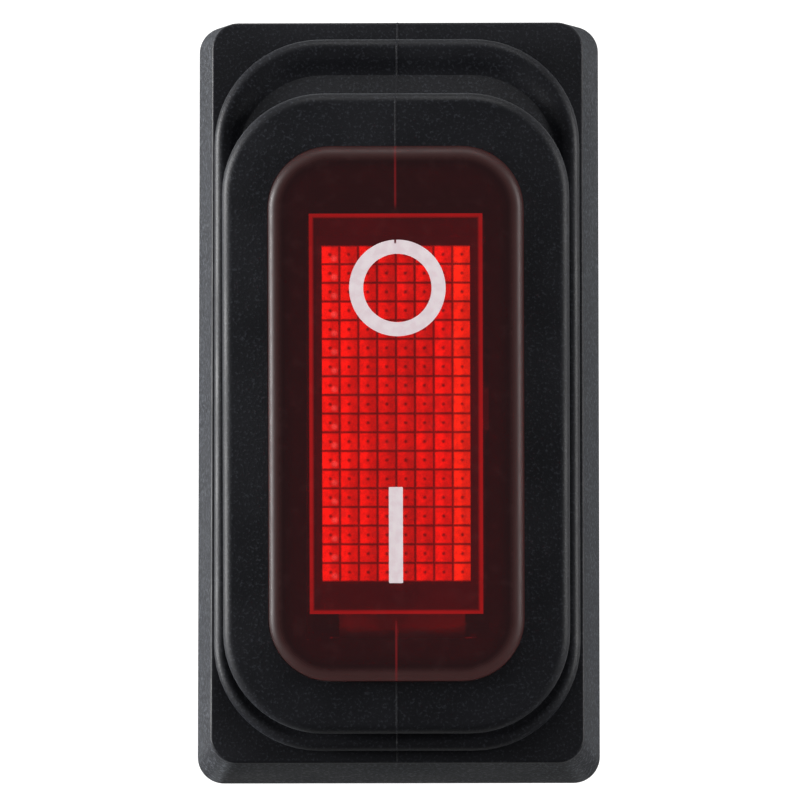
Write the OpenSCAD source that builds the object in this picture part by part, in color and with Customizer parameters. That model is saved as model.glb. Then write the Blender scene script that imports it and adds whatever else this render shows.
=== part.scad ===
// Illuminated panel rocker switch with a moulded rubber boot.
// Origin: centre of the panel seat, where the boot's sealing lip meets the panel.
// +Z points out of the panel to the user, +Y to the "off" end of the rocker.
// The switch is modelled in its "on" position: the -Y end of the rocker is pressed in.

/* [Panel cut-out] */
// Width of the hole in the panel
cutout_w = 11; // [10.8:0.1:12]
// Length of the hole in the panel
cutout_l = 30; // [29.5:0.1:32]
// Play between the body and the cut-out, both sides together
cutout_play = 0.1; // [0.05:0.05:0.2]

/* [Housing] */
// Overhang of the bezel past each long side of the body
bezel_side = 2.2; // [1.8:0.05:3]
// Overhang of the bezel past each end of the body
bezel_end = 1.65; // [1.5:0.05:3]
// Thickness of the bezel
bezel_t = 2.6; // [2.4:0.1:3]
// Corner radius of the bezel
bezel_r = 1.2; // [0.6:0.1:2]
// Depth of the body behind the panel
body_depth = 14; // [13.5:0.5:17]
// Corner radius of the body
body_r = 0.6; // [0.3:0.1:1]
// Wall along each long side of the body
side_wall = 1; // [0.9:0.05:1.2]
// Thickness of the floor that holds the terminals
floor_t = 1.5; // [1.2:0.1:2]
// Length of the well that the mechanism sits in
well_l = 24; // [23.4:0.1:24.6]

/* [Snap wings] */
// Width of each wing
wing_w = 6.6; // [5:0.1:7.4]
// Thickness of each wing
wing_t = 0.9; // [0.8:0.05:1.1]
// How far a wing's tip stands out past the end of the body
wing_reach = 1.05; // [0.7:0.05:1.4]
// Thickness of the thinnest panel that the wings grip
panel_min = 1.2; // [1:0.1:1.6]
// Height of each of the three gripping steps
wing_step = 0.6; // [0.4:0.05:0.8]

/* [Boot] */
// Thickness of the sealing lip under the bezel, with its bead
seal_t = 1; // [0.8:0.05:1.2]
// Height of the bead that the lip presses on the panel
bead_h = 0.3; // [0.2:0.05:0.4]
// Width of that bead
bead_w = 1.6; // [1:0.1:2]
// Wall of the skirt around the bezel
skirt_wall = 2.2; // [1.6:0.1:3]
// Thickness of the boot over the bezel
roof_t = 1.2; // [1:0.05:1.4]
// How far the skirt's long sides lean in from the panel to its upper edge
draft_side = 0.75; // [0.5:0.05:0.85]
// How far the skirt's ends lean in
draft_end = 0.55; // [0.4:0.05:0.8]
// Corner radius of the skirt
skirt_r = 1.3; // [1:0.05:2]
// Thickness of the rubber in the folds
fold_t = 0.8; // [0.7:0.05:0.9]
// Inset of the lower fold from the skirt's long sides
collar_side = 0.95; // [0.85:0.05:1]
// Inset of the lower fold from the skirt's ends
collar_end = 1.4; // [1.2:0.05:1.6]
// Corner radius of the lower fold
collar_r = 5.2; // [4.6:0.1:6]
// Height of the lower fold over the skirt
collar_h = 1.7; // [1.5:0.05:1.8]
// Inset of the deck from the skirt's long sides
deck_side = 1.45; // [1.3:0.05:1.5]
// Inset of the deck from the skirt's ends
deck_end = 3.3; // [3:0.05:3.4]
// Corner radius of the deck
deck_r = 4.9; // [4.4:0.1:5.4]
// Height of the deck over the panel, with the rocker level
deck_z = 9.6; // [9.4:0.05:10]
// Depth of the groove under the deck's rim
groove = 0.65; // [0.5:0.05:0.7]

/* [Window] */
// Width of the clear window
window_w = 12.3; // [11.6:0.1:12.4]
// Length of the clear window
window_l = 25.8; // [25.4:0.1:26.6]
// Corner radius of the window
window_r = 3; // [2.4:0.1:3.6]
// Thickness of the window over the rocker
window_t = 1.3; // [1:0.05:1.5]
// Height of the window over the deck
window_rise = 0.7; // [0.5:0.05:1]
// Radius of the window's upper edge
window_edge = 0.45; // [0.3:0.05:0.48]
// Width of the bonding flange under the deck
flange_w = 0.6; // [0.5:0.05:0.65]

/* [Rocker] */
// Length of the rocker's face
rocker_l = 19.4; // [19.2:0.1:19.8]
// Thickness of the rocker's face
face_t = 1.2; // [1:0.05:1.4]
// Wall along each long side of the rocker
rocker_side = 0.65; // [0.55:0.05:0.8]
// Wall at each end of the rocker
rocker_end = 1.6; // [1.2:0.05:1.8]
// Chamfer along the edges of the rocker's face
face_chamfer = 0.25; // [0.1:0.05:0.4]
// Depth of the rocker's pivot behind the panel's face
pivot_depth = 1.6; // [1.4:0.1:2]
// How far the rocker's skirt reaches below the pivot
rocker_drop = 1.8; // [1.6:0.1:2]
// How much shorter the rocker is at its lower edge, at each end
rocker_draft = 0.5; // [0.2:0.1:0.8]
// Whole swing of the rocker, from on to off
rocker_swing = 18.4; // [16:0.2:18.6]
// Radius of the trunnions
trunnion_r = 1.05; // [0.9:0.05:1.1]
// Running clearance of a moving pin, on the radius
run_gap = 0.05; // [0.03:0.01:0.08]
// Gap between the rocker and each long wall of the well
rocker_gap = 0.25; // [0.2:0.05:0.4]
// Pitch of the pyramids under the rocker's face
pyramid_pitch = 0.9; // [0.8:0.05:1.2]
// Height of the pyramids
pyramid_h = 0.42; // [0.3:0.02:0.5]

/* [Lamp] */
// Diameter of the neon lamp
lamp_d = 3.2; // [2.8:0.1:3.4]
// Length of the neon lamp
lamp_l = 8.4; // [7.6:0.1:8.8]
// Height of the lamp's underside over the carrier
lamp_rise = 2.6; // [2:0.1:3]
// Diameter of the series resistor
resistor_d = 1.8; // [1.5:0.1:2.2]
// Length of the series resistor
resistor_l = 3.8; // [3.2:0.1:4.2]
// Diameter of the lead wires
lead_d = 0.5; // [0.4:0.05:0.6]
// Thickness of the carrier's plate
carrier_t = 1.2; // [1:0.1:1.4]

/* [Contacts] */
// Distance from the rocker's pivot to the plunger's tip
plunger_reach = 7.2; // [7:0.05:7.4]
// Radius of the plunger
plunger_r = 1.2; // [1:0.05:1.3]
// Length of the plunger
plunger_l = 5; // [4.8:0.1:5.2]
// Whole swing of the contact blade
blade_swing = 14; // [10:1:16]
// Thickness of the contact blade
blade_t = 0.4; // [0.3:0.05:0.5]
// Width of the contact blade
blade_w = 3; // [2.6:0.1:3.2]
// Length of the blade's contact arm
blade_arm = 8; // [7.6:0.1:8.2]
// Length of the blade's tail
blade_tail = 5.2; // [4.6:0.1:5.4]
// Radius of the contact rivets' heads
rivet_r = 1.2; // [1:0.05:1.3]
// Height of the contact rivets' heads
rivet_h = 0.5; // [0.4:0.05:0.6]

/* [Terminals] */
// Width of the terminal tabs
tab_w = 6.3; // [4.8:0.1:6.4]
// Thickness of the terminal tabs
tab_t = 0.8; // [0.6:0.05:0.9]
// Length of the tabs below the body
tab_l = 8.5; // [7.5:0.1:10]
// Radius of the hole in each tab
tab_hole_r = 0.85; // [0.7:0.05:0.9]
// Distance from a tab's end to the middle of its hole
tab_hole_end = 3.6; // [3:0.1:4.2]
// Distance from the middle terminal to each outer one
tab_pitch = 10.6; // [10.4:0.1:10.8]

/* [Springs] */
// Outer radius of the lamp springs
lamp_spring_r = 0.7; // [0.6:0.05:0.75]
// Wire diameter of the lamp springs
lamp_wire_d = 0.25; // [0.2:0.05:0.3]
// Outer radius of the plunger spring
plunger_spring_r = 0.7; // [0.6:0.05:0.7]
// Wire diameter of the plunger spring
plunger_wire_d = 0.22; // [0.2:0.02:0.26]

/* [Hidden] */
$fn = 48;
eps = 0.01;          // overlap of solids that are one moulding
seat = 0.05;         // play between pieces that are assembled and don't move
touch = 0.02;        // play between contact faces

// Housing
body_w = cutout_w - cutout_play;
body_l = cutout_l - cutout_play;
bezel_w = body_w + 2 * bezel_side;
bezel_l = body_l + 2 * bezel_end;
bezel_top = seal_t + bezel_t;
well_w = body_w - 2 * side_wall;
floor_z = floor_t - body_depth;
collar_drop = 0.6;                 // height of the rims round the terminals, under the body
collar_wall = [1.1, 1];            // thickness of those rims past a tab's edges and past its faces
wing_drop = 8;                     // length of a wing below its tip
wing_root = 0.6;                   // height of the slope that joins a wing to the body
wing_tooth = 0.35;                 // how far each gripping step stands out past the next
pocket_gap = [0.4, 1.2, 0.4];      // a wing pocket's room beside the wing, its wall to the well, and its roof
block_gap = [0.4, 0.6];            // from a foot block to the blade's tail, and to the terminal's leg
stop_x = 2;                        // half width of the post under the blade's tail
stop_y = [0.1, 1.3];               // the post's two faces, measured in from the end of the tail
beyond = 1;                        // how far a cutting shape reaches past what it cuts

// Boot
skirt_w = bezel_w + 2 * skirt_wall;
skirt_l = bezel_l + 2 * skirt_wall;
skirt_top = bezel_top + roof_t;
collar_w = skirt_w - 2 * collar_side;
collar_l = skirt_l - 2 * collar_end;
deck_w = skirt_w - 2 * deck_side;
deck_l = skirt_l - 2 * deck_end;
bead_in = 0.7;                     // from the sealing lip's inner edge to the bead
crest = 0.42;                      // radius of the lower fold's crest
crest_end = 1.7;                   // where the crest ends, in radii from the fold's outside
rim = 0.5;                         // radius of the deck's rim
deck_fall = 0.15;                  // fall of the deck from the window to its rim
shelf_fall = 0.35;                 // fall of the shelf from the crest to the neck
neck_foot = 0.35;                  // height over the shelf where the neck starts to follow the rocker
neck_head = 0.5;                   // depth under the neck's upper end where it almost follows it
neck_share = 0.4;                  // shares of the tilt that the neck takes at its foot and at its head
head_share = 0.85;
under_share = 0.15;                // share that the underside of the shelf takes
hem = 0.5;                         // how far the boot holds the bezel's edge from above
corner_steps = 8;                  // facets in each corner of the boot

// Window
flange_t = 0.6;                    // thickness of the bonding flange
window_hem = 0.8;                  // width of the window's full thickness, round the hollow over the rocker

// Rocker
pivot_z = -pivot_depth;
tilt = rocker_swing / 2;
rocker_w = well_w - 2 * rocker_gap;
rocker_top = deck_z + window_rise - window_t - seat;
rocker_low = pivot_z - rocker_drop;
trunnion_short = 0.15;             // how far a trunnion's end stays inside the body's side
chamber_w = rocker_w - 2 * rocker_side;
chamber_l = rocker_l - 2 * rocker_end;
chamber_top = rocker_top - face_t;
trunnion_l = rocker_gap + side_wall - trunnion_short;

// Lamp and its carrier
carrier_top = rocker_low + carrier_t;
lamp_z = carrier_top + lamp_rise + lamp_d / 2;
lamp_turns = 9;
plunger_turns = 8;
saddle_wall = 0.6;                 // wall of a saddle beside the lamp or the resistor
saddle_t = 1;                      // thickness of a saddle
saddle_in = 1.4;                   // from each end of the lamp to the middle of its saddle
band_l = 0.9;                      // length of the resistor's thicker ends
pad_r = 0.95;
pad_t = 0.3;
pad_inset = 0.9;                   // from the chamber's end to the middle of a lamp spring's pad
pad_y = chamber_l / 2 - pad_inset;
lamp_room = 2 * pad_y - lamp_l - resistor_l;   // length that the lamp and the resistor leave free
lead_share = [1, 7, 3] / 11;       // its shares past the lamp, between the two and past the resistor
lamp_end = lamp_l - pad_y + lead_share[0] * lamp_room;   // the lamp's end nearest the resistor
lead_gap = lead_share[1] * lamp_room;   // length of the wire between lamp and resistor
pad_x = blade_w / 2 + lamp_spring_r + 0.2;
tube_r = plunger_r + 0.8;
tube_low = pivot_z - plunger_reach + 2.4;
tube_top = carrier_top + 0.4;
bore_top = tube_top - 0.6;

// Contacts, with the heights of the stack worked down from the plunger's tip
tip_gap = 0.08;                    // least play between the plunger and the blade
blade_low = pivot_z - plunger_reach - tip_gap - blade_t;
foot_top = blade_low - 2 * rivet_h - touch;
foot_low = foot_top - tab_t;
rivet_y = blade_arm - rivet_r - 0.1;
shank_r = 0.6;
upset = 0.3;                       // how much wider a rivet's upset end is, on the radius
upset_h = 0.25;
upset_room = 0.2;                  // room round the fixed contact's upset end
tab_low = -body_depth - tab_l;
leg_y = tab_pitch - tab_t / 2;     // inner face of the outer terminals' legs
foot_gap = [0.2, 0.8];             // from the blade's tail to the load and return terminals' feet
spring_seat = foot_top;

// ---------- shapes used by several pieces ----------

// A rectangle with true round corners
module plate_outline(w, l, r) {
    square([w - 2 * r, l], center = true);
    square([w, l - 2 * r], center = true);
    for (x = [-1, 1], y = [-1, 1])
        translate([x * (w / 2 - r), y * (l / 2 - r)]) circle(r);
}

module plate(w, l, r, low, high) {
    translate([0, 0, low]) linear_extrude(high - low) plate_outline(w, l, r);
}

module box(x, y, z) {
    translate([x[0], y[0], z[0]]) cube([x[1] - x[0], y[1] - y[0], z[1] - z[0]]);
}

// Turns what moves with the rocker from level to its place at rest
module rocked() {
    translate([0, 0, pivot_z]) rotate([tilt, 0, 0]) translate([0, 0, -pivot_z]) children();
}

// Stretches a profile drawn in Y and Z along X, centred
module across(w) {
    translate([-w / 2, 0, 0]) rotate([90, 0, 90]) linear_extrude(w) children();
}

module rod(a, b, d) {
    v = b - a;
    translate(a) rotate([0, acos(v[2] / norm(v)), atan2(v[1], v[0])]) cylinder(d = d, h = norm(v));
}

// One ring of points round a rounded rectangle, at height z
function ring(w, l, r, z) = [
    for (c = [0:3], i = [0:corner_steps])
        let (a = 90 * (c + i / corner_steps),
             x = (c == 0 || c == 3 ? 1 : -1) * (w / 2 - r),
             y = (c < 2 ? 1 : -1) * (l / 2 - r))
        [x + r * cos(a), y + r * sin(a), z]];

// Side faces between each ring and the next
function sides(rings, n, last) = [
    for (i = [0:last], j = [0:n - 1])
        let (a = i * n, b = (i + 1) % rings * n, k = (j + 1) % n)
        each [[a + j, b + j, b + k], [a + j, b + k, a + k]]];

// A skin over rings, closed on itself like a hose bent into a loop
module closed_loft(rings) {
    n = len(rings[0]);
    polyhedron([for (r = rings) each r], sides(len(rings), n, len(rings) - 1));
}

// A skin over rings, with a flat cap on the first and the last
module capped_loft(rings) {
    n = len(rings[0]);
    top = (len(rings) - 1) * n;
    polyhedron([for (r = rings) each r],
               concat(sides(len(rings), n, len(rings) - 2),
                      [[for (j = [0:n - 1]) j]], [[for (j = [n - 1:-1:0]) top + j]]));
}

// A coil of round wire from one point to another
module coil(from, to, r, wire, turns, per_turn = 12, wire_sides = 6) {
    mid = r - wire / 2;
    steps = turns * per_turn;
    rings = [for (k = [0:steps])
        let (a = 360 * k / per_turn, at = from + (to - from) * k / steps)
        [for (j = [0:wire_sides - 1])
            let (b = 360 * j / wire_sides, out = mid + wire / 2 * cos(b))
            [at[0] + out * cos(a), at[1] + out * sin(a), at[2] + wire / 2 * sin(b)]]];
    n = wire_sides;
    polyhedron([for (r = rings) each r],
               concat([for (f = sides(len(rings), n, len(rings) - 2)) [f[0], f[2], f[1]]],
                      [[for (j = [n - 1:-1:0]) j]], [[for (j = [0:n - 1]) steps * n + j]]));
}

// ---------- housing: one nylon moulding ----------

// A springy wing on the +Y end, with three steps that grip panels of three thicknesses
module wing() {
    root = body_l / 2;
    tip = -panel_min - 3 * wing_step;
    low = tip - wing_drop - wing_root;
    steps = [for (i = [0:2]) each [
        [root + wing_reach - i * wing_tooth, tip + i * wing_step],
        [root + wing_reach - i * wing_tooth, tip + (i + 1) * wing_step]]];
    back = root + wing_reach - 2 * wing_tooth - wing_t;
    across(wing_w) polygon(concat([[root - wing_t, low], [root, low]], steps,
                                  [[back, -panel_min], [back + wing_root, tip - wing_root]]));
}

// The pocket that a wing bends into
module wing_pocket() {
    low = -panel_min - 3 * wing_step - wing_drop;
    half = wing_w / 2 + pocket_gap[0];
    box([-half, half], [well_l / 2 + pocket_gap[1], body_l / 2 + beyond], [low, -pocket_gap[2]]);
}

module terminal_slot(y) {
    box([-tab_w / 2 - seat, tab_w / 2 + seat], [y - tab_t / 2 - seat, y + tab_t / 2 + seat],
        [-body_depth - collar_drop - beyond, floor_z + beyond]);
}

module housing() {
    color("#1d1e20") difference() {
        union() {
            plate(bezel_w, bezel_l, bezel_r, seal_t, bezel_top);
            difference() {
                plate(body_w, body_l, body_r, -body_depth, seal_t + eps);
                for (s = [0, 1]) mirror([0, s, 0]) wing_pocket();
            }
            for (s = [0, 1]) mirror([0, s, 0]) wing();
            for (y = [-tab_pitch, 0, tab_pitch]) terminal_collar(y);
        }
        difference() {
            box([-well_w / 2, well_w / 2], [-well_l / 2, well_l / 2], [floor_z, bezel_top + beyond]);
            for (s = [0, 1]) mirror([0, s, 0]) foot_block();
            blade_stop();
        }
        for (y = [-tab_pitch, 0, tab_pitch]) terminal_slot(y);
        rivet_pocket();
        translate([-bezel_w, 0, pivot_z]) rotate([0, 90, 0])
            cylinder(r = trunnion_r + run_gap, h = 2 * bezel_w);
    }
}

// Raised rim round a terminal on the body's underside
module terminal_collar(y) {
    half = [tab_w / 2 + collar_wall[0], tab_t / 2 + collar_wall[1]];
    box([-half[0], half[0]], [y - half[1], y + half[1]], [-body_depth - collar_drop, -body_depth + eps]);
}

// Moulded block under an outer terminal's foot
module foot_block() {
    box([-well_w / 2 - beyond, well_w / 2 + beyond], [blade_tail + block_gap[0], leg_y - block_gap[1]],
        [floor_z - beyond, foot_low]);
}

// Hollow that the fixed contact's upset end stands in
module rivet_pocket() {
    translate([0, rivet_y, foot_low - upset_h - upset_room / 2])
        cylinder(r = shank_r + upset + upset_room, h = upset_h + beyond);
}

// Post that the blade's tail comes down on when the switch is off
module blade_stop() {
    box([-stop_x, stop_x], [-blade_tail + stop_y[0], -blade_tail + stop_y[1]],
        [floor_z - beyond, blade_low - 2 * touch]);
}

// ---------- boot: one rubber moulding with two folds ----------

least_r = 0.3;                             // smallest corner radius of a drawn-in outline

// A ring of the boot: outline [width, length, corner radius], drawn in by d at height z, and
// turned about the rocker's pivot by its share of the tilt
function turned(o, d, z, share) =
    let (a = tilt * share)
    [for (p = ring(o[0] - 2 * d, o[1] - 2 * d, max(least_r, o[2] - d), z))
        [p[0], p[1] * cos(a) - (p[2] - pivot_z) * sin(a),
         pivot_z + p[1] * sin(a) + (p[2] - pivot_z) * cos(a)]];

// Rings over a quarter circle of radius q, from upright to flat
function round_over(o, q, z, share) =
    [for (a = [0:30:90]) turned(o, q * (1 - cos(a)), z + q * sin(a), share)];

// Rings under a quarter circle, from flat to upright, that starts d inside the outline
function round_under(o, d, q, z, share) =
    [for (a = [0:30:90]) turned(o, d - q * sin(a), z - q * cos(a), share)];

function grown(o, d) = [o[0] + 2 * d, o[1] + 2 * d, o[2] + d];
function halfway(a, b) = (a + b) / 2;

skirt_o = [skirt_w, skirt_l, skirt_r];
brow_o = [skirt_w - 2 * draft_side, skirt_l - 2 * draft_end, skirt_r];
collar_o = [collar_w, collar_l, collar_r];
deck_o = [deck_w, deck_l, deck_r];
window_o = grown([window_w, window_l, window_r], seat);
bezel_o = grown([bezel_w, bezel_l, bezel_r], seat);
seal_o = grown([body_w, body_l, body_r], seat);
flange_o = grown(window_o, flange_w);
shelf_o = halfway(grown(collar_o, -2 * crest - 0.2), grown(deck_o, -groove));
crest_z = skirt_top + collar_h - crest;    // centre of the lower fold's crest
shelf_z = skirt_top + collar_h - shelf_fall; // foot of the neck, where the shelf between the folds ends
rim_z = deck_z - deck_fall - rim;          // centre of the deck's rim
neck_z = rim_z - rim;                      // upper end of the neck, under the rim
deck_low = deck_z - fold_t;                // underside of the deck
crest_share = 0.27;                        // share of the tilt that the lower fold takes
shelf_share = 0.24;                        // share that the shelf takes at the neck's foot
lip_z = bead_h;                            // underside of the sealing lip

module boot() {
    edge = 0.12;                           // radius of the skirt's upper edge
    foot = 0.15;                           // chamfer of its lower edge
    outside = concat(
        [turned(seal_o, 0, lip_z, 0), turned(skirt_o, foot, lip_z, 0), turned(skirt_o, 0, lip_z + foot, 0)],
        round_over(brow_o, edge, skirt_top - edge, 0),
        [turned(collar_o, 0, skirt_top, 0)],
        round_over(collar_o, crest, crest_z, crest_share),
        [turned(collar_o, crest_end * crest, crest_z + sin(70) * crest, crest_share),
         turned(shelf_o, 0, shelf_z, shelf_share),
         turned(deck_o, groove + seat, shelf_z + neck_foot, neck_share),
         turned(deck_o, groove + seat, neck_z - neck_head, head_share)],
        round_under(deck_o, rim, rim, rim_z, 1),
        [for (a = [30:30:90]) turned(deck_o, rim * (1 - cos(a)), rim_z + rim * sin(a), 1)],
        [turned(window_o, 0, deck_z, 1)]);
    inside = [
        turned(window_o, 0, deck_low, 1),
        turned(flange_o, 0, deck_low, 1),
        turned(deck_o, groove + fold_t, deck_low - 2 * seat, 1),
        turned(deck_o, groove + fold_t, neck_z - neck_head, head_share),
        turned(deck_o, groove + fold_t, shelf_z, neck_share),
        turned(shelf_o, fold_t / 2, shelf_z - fold_t, under_share),
        turned(bezel_o, hem, bezel_top + hem, 0),
        turned(bezel_o, hem, bezel_top + seat, 0),
        turned(bezel_o, 0, bezel_top + seat, 0),
        turned(bezel_o, 0, seal_t - seat, 0),
        turned(seal_o, 0, seal_t - seat, 0)];
    color("#1b1c20") {
        closed_loft(concat(outside, inside));
        sealing_bead();
    }
}

// Flat-topped bead under the lip, all round the cut-out, which meets the panel
module sealing_bead() {
    inner = grown(seal_o, bead_in);
    outer = grown(inner, bead_w);
    difference() {
        plate(outer[0], outer[1], outer[2], 0, (lip_z + seal_t) / 2);
        plate(inner[0], inner[1], inner[2], -beyond, seal_t);
    }
}

// ---------- window: clear red rubber, bonded under the deck ----------

module boot_window() {
    o = [window_w, window_l, window_r];
    top = deck_z + window_rise;
    flange_high = deck_low - seat;
    flange_low = flange_high - flange_t;
    recess = grown(o, -window_hem);
    f = grown(o, flange_w - seat);
    color("#a01018", 0.6) rocked() capped_loft([
        ring(recess[0], recess[1], recess[2], top - window_t),
        ring(recess[0], recess[1], recess[2], flange_low),
        ring(f[0], f[1], f[2], flange_low),
        ring(f[0], f[1], f[2], flange_high),
        ring(o[0], o[1], o[2], flange_high),
        for (a = [0:22.5:90]) let (d = window_edge * (1 - cos(a)))
            ring(o[0] - 2 * d, o[1] - 2 * d, o[2] - d, top - window_edge + window_edge * sin(a))]);
}

// ---------- rocker: red polycarbonate shell ----------

// Side view of the rocker: narrower at its lower edge, with chamfers along its face
module rocker_side_view() {
    half = rocker_l / 2;
    foot = half - rocker_draft;
    brow = half - face_chamfer;
    polygon([[-foot, rocker_low], [foot, rocker_low], [half, rocker_top - face_chamfer], [brow, rocker_top],
             [-brow, rocker_top], [-half, rocker_top - face_chamfer]]);
}

module rocker_end_view() {
    half = rocker_w / 2;
    brow = half - face_chamfer;
    polygon([[-half, rocker_low], [half, rocker_low], [half, rocker_top - face_chamfer], [brow, rocker_top],
             [-brow, rocker_top], [-half, rocker_top - face_chamfer]]);
}

// Rows of pyramids, where ridges that run one way meet ridges that run the other
module pyramids() {
    intersection() {
        ridges(ceil(chamber_l / pyramid_pitch), chamber_w);
        rotate(90) ridges(ceil(chamber_w / pyramid_pitch), chamber_l);
        box([-chamber_w / 2 - eps, chamber_w / 2 + eps], [-chamber_l / 2 - eps, chamber_l / 2 + eps],
            [chamber_top - 2, chamber_top + 1]);
    }
}

module ridges(count, length) {
    base = chamber_top - seat;
    half = count * pyramid_pitch / 2;
    across(length + 1) polygon(concat(
        [[half, base + 0.5], [-half, base + 0.5]],
        [for (i = [0:count]) each (i == count
            ? [[-half + i * pyramid_pitch, base]]
            : [[-half + i * pyramid_pitch, base], [-half + (i + 0.5) * pyramid_pitch, base - pyramid_h]])]));
}

module rocker() {
    color("#c0141a", 0.75) rocked() {
        difference() {
            intersection() {
                across(rocker_w + 1) rocker_side_view();
                rotate(90) across(rocker_l + 1) rocker_end_view();
            }
            box([-chamber_w / 2, chamber_w / 2], [-chamber_l / 2, chamber_l / 2],
                [rocker_low - 1, chamber_top]);
        }
        pyramids();
        for (s = [-1, 1]) translate([s * (rocker_w / 2 - eps), 0, pivot_z]) rotate([0, s * 90, 0])
            cylinder(r = trunnion_r, h = trunnion_l + eps);
    }
}

// ---------- lamp carrier: white nylon, clipped into the rocker ----------

module saddle(y, d) {
    difference() {
        box([-d / 2 - saddle_wall, d / 2 + saddle_wall], [y - saddle_t / 2, y + saddle_t / 2],
            [carrier_top - eps, lamp_z]);
        translate([0, y - saddle_t, lamp_z]) rotate([-90, 0, 0])
            cylinder(d = d + 2 * seat, h = 2 * saddle_t);
    }
}

module lamp_carrier() {
    color("#e8e6df") rocked() difference() {
        union() {
            box([-chamber_w / 2 + seat, chamber_w / 2 - seat],
                [-chamber_l / 2 + rocker_draft + seat, chamber_l / 2 - rocker_draft - seat],
                [rocker_low, carrier_top]);
            translate([0, 0, tube_low]) cylinder(r = tube_r, h = tube_top - tube_low);
            for (y = [lamp_end - lamp_l + saddle_in, lamp_end - saddle_in]) saddle(y, lamp_d);
            saddle(lamp_end + lead_gap + resistor_l / 2, resistor_d);
        }
        translate([0, 0, tube_low - beyond])
            cylinder(r = plunger_r + run_gap, h = bore_top - tube_low + beyond);
        for (at = [[pad_x, pad_y], [0, -pad_y]]) translate([at[0], at[1], rocker_low - beyond])
            cylinder(d = lead_d + 2 * seat, h = carrier_t + 2 * beyond);
    }
}

// ---------- lamp, resistor and the wires that join them ----------

module neon_lamp() {
    color("#ffb070", 0.5) rocked() translate([0, lamp_end, lamp_z]) rotate([90, 0, 0]) {
        cylinder(d = lamp_d, h = lamp_l - lamp_d / 2);
        translate([0, 0, lamp_l - lamp_d / 2]) sphere(d = lamp_d);
    }
}

module resistor() {
    bulge = 0.15;
    start = lamp_end + lead_gap;
    color("#c8a878") rocked() translate([0, start, lamp_z]) rotate([-90, 0, 0]) {
        cylinder(d = resistor_d - 2 * bulge, h = resistor_l);
        for (z = [0, resistor_l - band_l]) translate([0, 0, z]) cylinder(d = resistor_d, h = band_l);
    }
}

// A wire from a lamp part down to the pad that a lamp spring presses on
module lead(route, pad) {
    color("#b9bcc0") rocked() {
        for (i = [1:len(route) - 1]) {
            rod(route[i - 1], route[i], lead_d);
            if (i < len(route) - 1) translate(route[i]) sphere(d = lead_d);
        }
        translate([pad[0], pad[1], rocker_low - pad_t]) cylinder(r = pad_r, h = pad_t);
    }
}

module lead_load() {
    far = lamp_end + lead_gap + resistor_l;
    lead([[0, far, lamp_z], [0, pad_y, lamp_z], [pad_x, pad_y, lamp_z], [pad_x, pad_y, rocker_low - eps]],
         [pad_x, pad_y]);
}

module lead_link() {
    color("#b9bcc0") rocked()
        rod([0, lamp_end, lamp_z], [0, lamp_end + lead_gap, lamp_z], lead_d);
}

module lead_return() {
    far = lamp_end - lamp_l;
    lead([[0, far, lamp_z], [0, -pad_y, lamp_z], [0, -pad_y, rocker_low - eps]], [0, -pad_y]);
}

// ---------- plunger: nylon cup with a round tip ----------

plunger_low = pivot_z - plunger_reach;
plunger_tip = 1.7;                 // solid length at the plunger's tip
plunger_bore = plunger_l - plunger_tip;

module plunger() {
    color("#f2f0e8") rocked() difference() {
        translate([0, 0, plunger_low + plunger_r]) {
            cylinder(r = plunger_r, h = plunger_l - plunger_r);
            sphere(plunger_r);
        }
        translate([0, 0, plunger_low + plunger_l - plunger_bore])
            cylinder(r = plunger_spring_r + 2 * seat, h = plunger_bore + beyond);
    }
}

module plunger_spring() {
    low = plunger_low + plunger_l - plunger_bore + plunger_wire_d / 2;
    color("#c4c6c8") rocked() coil([0, 0, low + touch], [0, 0, bore_top - plunger_wire_d / 2 - touch],
                                   plunger_spring_r, plunger_wire_d, plunger_turns);
}

// ---------- contact blade: a shallow copper vee that seesaws on the middle terminal ----------

waist = 0.95;                      // half width of the blade between the terminal's prongs
notch = 0.62;                      // half length of the notches there

module blade_arm_plate(far) {
    difference() {
        union() {
            box([-blade_w / 2, blade_w / 2], [0, far - blade_w / 2], [0, blade_t]);
            translate([0, far - blade_w / 2, 0]) cylinder(d = blade_w, h = blade_t);
        }
        for (s = [0, 1]) mirror([s, 0, 0]) box([waist, blade_w], [-beyond, notch], [-beyond, beyond]);
    }
}

module contact_blade() {
    color("#b87333") translate([0, 0, blade_low]) difference() {
        union() {
            blade_arm_plate(blade_arm);
            rotate([-blade_swing, 0, 0]) mirror([0, 1, 0]) blade_arm_plate(blade_tail);
        }
        translate([0, rivet_y, -beyond]) cylinder(r = shank_r, h = blade_t + 2 * beyond);
    }
}

// A rivet whose head faces down from z, with a shank and an upset end above
module rivet(z, through) {
    translate([0, 0, z - rivet_h]) cylinder(r = rivet_r, h = rivet_h);
    translate([0, 0, z - eps]) cylinder(r = shank_r, h = through + 2 * eps);
    translate([0, 0, z + through]) cylinder(r = shank_r + upset, h = upset_h);
}

module moving_contact() {
    color("#d8d8dc") translate([0, rivet_y, 0]) rivet(blade_low, blade_t);
}

module fixed_contact() {
    color("#d8d8dc") translate([0, rivet_y, 0]) mirror([0, 0, 1]) rivet(-foot_top, tab_t);
}

// ---------- terminals: tabs stamped from tinned brass strip ----------

// Front view of a tab from its end up to height high, with shoulders that sit on the floor
module tab_outline(high) {
    nose = [1, 1.2];
    shoulder = [0.5, 1.2];
    half = tab_w / 2;
    low = floor_z + seat;
    right = [[half - nose[0], tab_low], [half, tab_low + nose[1]], [half, low], [half + shoulder[0], low],
             [half + shoulder[0], low + shoulder[1]], [half, low + shoulder[1]], [half, high]];
    polygon(concat(right, [for (i = [len(right) - 1:-1:0]) [-right[i][0], right[i][1]]]));
}

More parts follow.
